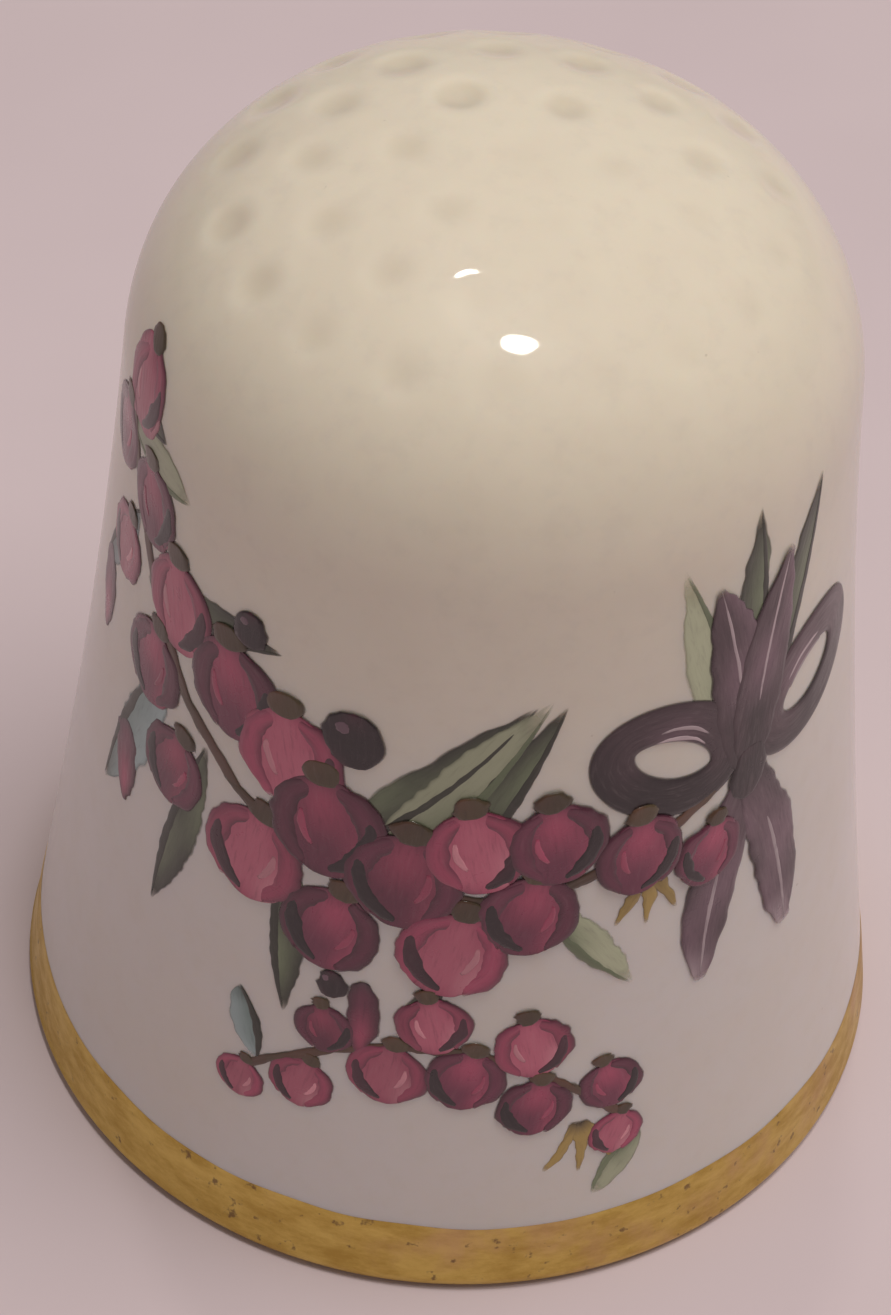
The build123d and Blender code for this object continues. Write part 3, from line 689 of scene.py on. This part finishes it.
# Pale streaks along the ribbon's folds, in mm
FOLD_REACH, FOLD_RISES, FOLD_BOW = 0.9, (0.45, 0.75), 0.25
FOLD_STREAK = (0.05, 0.13, 0.16, 0.13, 0.05)
TAIL_STREAK, END_STREAK = (0.06, 0.18, 0.15, 0.05), (0.05, 0.14, 0.12, 0.04)
LOOP_REACH, LOOP_RISE, LOOP_TILT = 14.0, 1.6, 22.0
LOOP_WIDTH, LOOP_TALL, LOOP_HOLE_WIDTH, LOOP_HOLE_TALL = 5.0, 3.6, 2.5, 1.1
TAIL_REACH, TAIL_DROP, TAIL_WIDTH = 8.5, 6.4, 1.8
END_REACH, END_RISE, END_WIDTH = 7.5, 6.6, 1.9
KNOT_LEAVES = ((-14.0, 7.6, 1.3, "pale"), (0.5, 8.4, 1.3, "green"), (16.0, 8.0, 1.3, "green"))

# A leaf's coat, its body's colours from root to tip, and its shaded edge's colour
LEAF_PAINTS = {
    "green": ("green_leaves", "GE/EG/GE/G", "G"),
    "blue": ("blue_leaves", "uU/UT/UT/TG", "G"),
    "pale": ("green_washes", "eF/Fe/Ff/f", "e"),
}
BELL_PAINTS = {
    "rose": ("rose_blossoms", "DMP/MRM/RRS/PMM", "D", "S"),
    "plum": ("plum_blossoms", "DPD/PMP/PPM/DPD", "K", "M"),
}


def on_curve(curve, share, aside=0.0):
    """Azimuth, height and run direction in degrees at a share of a curve, moved aside mm left."""
    near, far = 1.0 - share, share
    weights = (near ** 3, 3 * near * near * far, 3 * near * far * far, far ** 3)
    slopes = (-near * near, near * near - 2 * near * far, 2 * near * far - far * far, far * far)
    azimuth = sum(w * p[0] for w, p in zip(weights, curve))
    height = sum(w * p[1] for w, p in zip(weights, curve))
    run = sum(w * p[0] for w, p in zip(slopes, curve)) * DEGREE
    rise = sum(w * p[1] for w, p in zip(slopes, curve))
    heading = math.atan2(rise, run)
    return (azimuth - aside * math.sin(heading) / DEGREE, height + aside * math.cos(heading),
            math.degrees(heading))


def beside(azimuth, height, lean, right, up):
    """Azimuth and height of a spot right and up, in mm, of a motif that leans."""
    turn = math.radians(lean)
    return (azimuth + (right * math.cos(turn) - up * math.sin(turn)) / DEGREE,
            height + right * math.sin(turn) + up * math.cos(turn))


ARC_PARTS = 4


def arc(start, end, bow):
    """Points from start to end, bowed bow mm to the left of the way."""
    run, rise = (end[0] - start[0]) * DEGREE, end[1] - start[1]
    long = math.hypot(run, rise)
    points = []
    for k in range(ARC_PARTS + 1):
        share = k / ARC_PARTS
        out = bow * 4 * share * (1 - share)
        points.append((start[0] + (end[0] - start[0]) * share - out * rise / long / DEGREE,
                       start[1] + rise * share + out * run / long))
    return points


def leaf(start, end, width, colour):
    """A leaf from its root to its tip, with a shaded lower edge."""
    coat, body, shade = LEAF_PAINTS[colour]
    tapered = [share * width for share in LEAF_TAPER] + [LEAF_TIP]
    stroke(coat, arc(start, end, width / LEAF_FLATNESS), tapered, body, thick=WASH_THICK, soft=0.35)
    stroke(coat, arc(start, end, -width / EDGE_FLATNESS), EDGE_WIDTHS, shade, soft=0.3)


def bell(azimuth, height, width, lean, colour):
    """A bell flower: cap, soft round body, a dark crescent low on one side and a pale streak."""
    coat, body, shade, shine = BELL_PAINTS[colour]
    def at(right, up):
        return beside(azimuth, height, lean, right * width, up * width)
    dab(coat, azimuth, height, width, width * BELL_TALL, lean, body, soft=0.22)
    for side in (-1, 1):                         # the two petals that fold round it
        petal = [at(right * side, up) for right, up in PETAL]
        stroke(coat, petal, np.array(PETAL_WIDTHS) * width, body[:3] + "/" + body[-3:], soft=0.3)
    hand = math.copysign(1.0, lean)
    crescent = arc(at(CRESCENT_FOOT[0] * hand, CRESCENT_FOOT[1]),
                   at(CRESCENT_HEAD[0] * hand, CRESCENT_HEAD[1]), -CRESCENT_BOW * hand * width)
    stroke("dark_buds", crescent, np.array(CRESCENT_WIDTHS) * width,
           shade + "K/" + shade + shade, soft=0.3)
    streak = arc(at(SHINE_TOP[0] * hand, SHINE_TOP[1]),
                 at(SHINE_FOOT[0] * hand, SHINE_FOOT[1]), -SHINE_BOW * hand * width)
    stroke(coat, streak, np.array(SHINE_WIDTHS) * width, shine, soft=0.5)
    dab("brown_stems", *at(0.0, CAP_RISE), CAP_WIDTH * width, CAP_TALL * width, lean, "BC/CC",
        soft=0.25)


def stem(curve, width, pieces):
    """A stem along a curve, in short overlapping strokes."""
    for step in range(pieces):
        start = on_curve(curve, max(0.0, (step - STEM_OVERLAP) / pieces))
        end = on_curve(curve, min(1.0, (step + 1.0 + STEM_OVERLAP) / pieces))
        stroke("brown_stems", arc(start[:2], end[:2], width / STEM_FLATNESS),
               np.array(STEM_TAPER) * width, "C/B/C", soft=0.3)


def ribbon_loop(middle, hand):
    """One loop of the bow, a closed band round its hole, with pale streaks along the fold."""
    wide, tall = (LOOP_WIDTH + LOOP_HOLE_WIDTH) / 4, (LOOP_TALL + LOOP_HOLE_TALL) / 4
    band, thin_band = (LOOP_TALL - LOOP_HOLE_TALL) / 2, (LOOP_WIDTH - LOOP_HOLE_WIDTH) / 2
    points, widths = [], []
    for k in range(LOOP_POINTS):
        turn = 2 * math.pi * k / LOOP_POINTS
        points.append(beside(*middle, hand * LOOP_TILT, wide * math.cos(turn),
                             tall * math.sin(turn)))
        widths.append(band + (thin_band - band) * abs(math.cos(turn)))
    stroke("ribbon_bow", points, widths, "AA/AA/VA/AA/AK/KK/KK/AK", soft=0.2, closed=True)
    for rise in FOLD_RISES:
        streak = arc(beside(*middle, hand * LOOP_TILT, -FOLD_REACH, rise),
                     beside(*middle, hand * LOOP_TILT, FOLD_REACH, rise), FOLD_BOW)
        stroke("ribbon_bow", streak, FOLD_STREAK, "L", soft=0.5)


for curve, share, turned, length, width, colour in LEAVES:
    azimuth, height, heading = on_curve(curve, share)
    tip = beside(azimuth, height, heading + turned * LEAF_SPREAD, length, 0.0)
    leaf((azimuth, height), tip, width, colour)
for across, up, width, colour in KNOT_LEAVES:
    leaf(KNOT, (KNOT[0] + across, KNOT[1] + up), width, colour)
for curve, share, aside in GRASS:
    azimuth, height, _ = on_curve(curve, share, aside)
    for fan in GRASS_FAN:
        tip = beside(azimuth, height, fan, 0.0, -GRASS_LENGTH)
        stroke("ochre_grass", arc((azimuth, height), tip, GRASS_BOW), GRASS_WIDTHS, "C/O/O/o",
               soft=0.35, rag=GRASS_RAG)
stem(GARLAND, GARLAND_STEM, GARLAND_PIECES)
stem(LOW_SPRIG, SPRIG_STEM, SPRIG_PIECES)
for hand in (-1.0, 1.0):
    ribbon_loop((KNOT[0] + hand * LOOP_REACH, KNOT[1] + LOOP_RISE), hand)
    tail = arc(KNOT, (KNOT[0] + hand * TAIL_REACH, KNOT[1] - TAIL_DROP), hand * TAIL_BEND)
    stroke("ribbon_bow", tail, np.array(TAIL_TAPER) * TAIL_WIDTH, "KA/AV/VVA/AV/VL", soft=0.2)
    stroke("ribbon_bow", tail[1:], TAIL_STREAK, "L", soft=0.5)
    end = arc(KNOT, (KNOT[0] + hand * END_REACH, KNOT[1] + END_RISE), hand * END_BEND)
    stroke("ribbon_bow", end, np.array(END_TAPER) * END_WIDTH, "KK/AKA/AVA/AAV/AV", soft=0.2)
    stroke("ribbon_bow", end[1:], END_STREAK, "L", soft=0.5)
dab("ribbon_bow", *KNOT, KNOT_WIDTH, KNOT_TALL, 0.0, "AK/KK/KA", soft=0.2)
for curve, share, aside, width in BUDS:
    azimuth, height, _ = on_curve(curve, share, aside)
    dab("plum_blossoms", azimuth, height, width, BUD_TALL, 0.0, "KAK/DPD/PMD/DD", point=0.5)
for curve, share, aside, width, lean, colour in BELLS:
    azimuth, height, _ = on_curve(curve, share, aside)
    bell(azimuth, height, width, lean, colour)
for curve, share, aside, width in BERRIES:
    azimuth, height, _ = on_curve(curve, share, aside)
    dab("dark_buds", azimuth, height, width, width, 0.0, "KDK/KKK/DKK", soft=0.2)
    right, up = BERRY_SHINE_AT
    wide, tall = BERRY_SHINE_SIZE
    dab("dark_buds", *beside(azimuth, height, 0.0, right * width, up * width), wide * width,
        tall * width, BERRY_SHINE_LEAN, "V", soft=0.5)


def enamel_material(name, streak, gloss):
    m = Nodes(name)
    paint = m.node("ShaderNodeAttribute", attribute_name="paint")
    uv = m.node("ShaderNodeUVMap", uv_map="brush").outputs[0]
    bristle = m.noise(m.stretched(uv, (9.0, 1.3, 1.0)), 1.0, 4.0, 0.6, 0.3)
    blot = m.noise(m.position(), 900.0, 4.0, 0.6)
    grain = m.noise(m.position(), 3600.0, 3.0, 0.6)
    dark = m.mix(1.0, paint.outputs["Color"], (0.55, 0.5, 0.55, 1.0), "MULTIPLY")
    light = m.mix(0.10, paint.outputs["Color"], (0.62, 0.5, 0.5, 1.0))
    base = m.mix(m.ramp(bristle, 0.52, 0.75, 0.0, streak), paint.outputs["Color"], light)
    base = m.mix(m.ramp(bristle, 0.5, 0.25, 0.0, streak), base, dark)
    base = m.mix(m.ramp(blot, 0.55, 0.8, 0.0, 0.35), base, dark)
    base = m.mix(m.ramp(grain, 0.5, 0.8, 0.0, 0.25), base, light)
    m.set(Base_Color=base, Roughness=m.ramp(blot, 0.3, 0.7, gloss, gloss + 0.14))
    m.set(Coat_Weight=0.35, Coat_Roughness=0.08)
    m.set(Normal=m.bump(bristle, 0.35, 0.00004, m.bump(grain, 0.15, 0.00002)))
    wear = m.ramp(m.math("ADD", bristle, m.math("MULTIPLY", paint.outputs["Alpha"], 1.2)), 0.5, 0.8)
    m.set(Alpha=m.math("MULTIPLY", m.math("MINIMUM", m.math("MULTIPLY", paint.outputs["Alpha"], 1.6),
                                          1.0), wear))
    return m.mat


COAT_LOOKS = {            # coat and CAD node: material slot, streakiness, gloss
    "dark_buds": ("dark_plum_enamel", 0.35, 0.24),
    "plum_blossoms": ("plum_enamel", 0.45, 0.24),
    "rose_blossoms": ("rose_enamel", 0.55, 0.26),
    "ribbon_bow": ("aubergine_enamel", 0.8, 0.26),
    "brown_stems": ("brown_enamel", 0.5, 0.28),
    "green_leaves": ("green_enamel", 0.45, 0.28),
    "blue_leaves": ("blue_enamel", 0.5, 0.32),
    "ochre_grass": ("ochre_enamel", 0.6, 0.3),
    "green_washes": ("pale_green_enamel", 0.4, 0.34),
}
for coat, (slot_name, streak, gloss) in COAT_LOOKS.items():
    store = coats[coat]
    obj = new_object("painted_" + coat, np.concatenate(store["v"]), store["f"])
    colours = np.concatenate(store["c"])
    colours[:, :3] = np.clip(colours[:, :3] * PAINT_GAIN, 0, 1)
    layer = obj.data.color_attributes.new("paint", "FLOAT_COLOR", "POINT")
    layer.data.foreach_set("color", colours.astype(np.float32).ravel())
    loops = np.zeros(len(obj.data.loops), int)
    obj.data.loops.foreach_get("vertex_index", loops)
    uv = obj.data.uv_layers.new(name="brush")
    uv.data.foreach_set("uv", np.concatenate(store["uv"])[loops].astype(np.float32).ravel())
    obj.data.materials.append(enamel_material("enamel_" + coat, streak, gloss))
    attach(obj, "root")
    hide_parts(coat)


# ---- floor, light, camera ----------------------------------------------------------------------
FLOOR_HALF, FLOOR_DROP = 0.6, 0.02             # metres, and mm under the foot so no faces coincide
SKY_COLOUR, SKY_STRENGTH = (1.0, 0.93, 0.92, 1.0), 0.21
OVERHEAD_COLOUR, LAMP_COLOUR = (1.0, 0.95, 0.905), (1.0, 0.95, 0.88)


def flat_floor():
    half, low = FLOOR_HALF, -FLOOR_DROP * MM
    corners = [(-half, -half, low), (half, -half, low), (half, half, low), (-half, half, low)]
    obj = new_object("floor", corners, [(0, 1, 2, 3)], smooth=False)
    m = Nodes("pale_floor")
    p = m.position()
    tone = m.noise(p, 60.0, 3.0, 0.5)
    m.set(Base_Color=m.mix(m.ramp(tone, 0.3, 0.7), srgb(218, 202, 206), srgb(214, 198, 202)))
    m.set(Roughness=0.85)
    obj.data.materials.append(m.mat)


flat_floor()

world = bpy.data.worlds.new("studio")
bpy.context.scene.world = world
world.use_nodes = True
sky = world.node_tree.nodes["Background"]
sky.inputs[0].default_value = SKY_COLOUR
sky.inputs[1].default_value = SKY_STRENGTH


def area_light(name, place, aim, size, power, colour):
    """A round lamp, size across, at place and facing aim."""
    data = bpy.data.lights.new(name, "AREA")
    data.shape = "DISK"
    data.size = size
    data.energy = power
    data.color = colour
    obj = bpy.data.objects.new(name, data)
    bpy.context.scene.collection.objects.link(obj)
    obj.location = place
    obj.rotation_mode = "QUATERNION"
    obj.rotation_quaternion = (Vector(aim) - Vector(place)).to_track_quat("-Z", "Y")
    return obj


overhead = area_light("overhead", (0.16, 0.0, 0.52), (0, 0, 0.01), 0.35, 1.45, OVERHEAD_COLOUR)
overhead.visible_glossy = False          # the glaze shows only the two small lamps
area_light("lamp_high", (-0.028, 0.119, 0.38), (0, 0, 0.02), 0.023, 0.08, LAMP_COLOUR)
area_light("lamp_low", (0.034, -0.016, 0.39), (0, 0, 0.02), 0.042, 0.22, LAMP_COLOUR)

CAMERA_PLACE = Vector((0.0, -74.5, 88.6)) * MM
CAMERA_LOOK = Vector((-0.0061, 0.6966, -0.7174))
CAMERA_ROLL = 4.13                       # degrees, so that the crown leans to the right
LENS, SENSOR = 109.5, 36.0               # mm; SENSOR spans the picture's longer side, its height
CLIP = (0.005, 10.0)                     # metres
camera_data = bpy.data.cameras.new("camera")
camera_data.sensor_width = SENSOR
camera_data.lens = LENS
camera_data.clip_start, camera_data.clip_end = CLIP
camera = bpy.data.objects.new("camera", camera_data)
bpy.context.scene.collection.objects.link(camera)
camera.location = CAMERA_PLACE
camera.rotation_mode = "QUATERNION"
level = CAMERA_LOOK.to_track_quat("-Z", "Y")
camera.rotation_quaternion = level @ Quaternion((0, 0, 1), math.radians(CAMERA_ROLL))
bpy.context.scene.camera = camera
bpy.context.scene.view_settings.view_transform = "Standard"
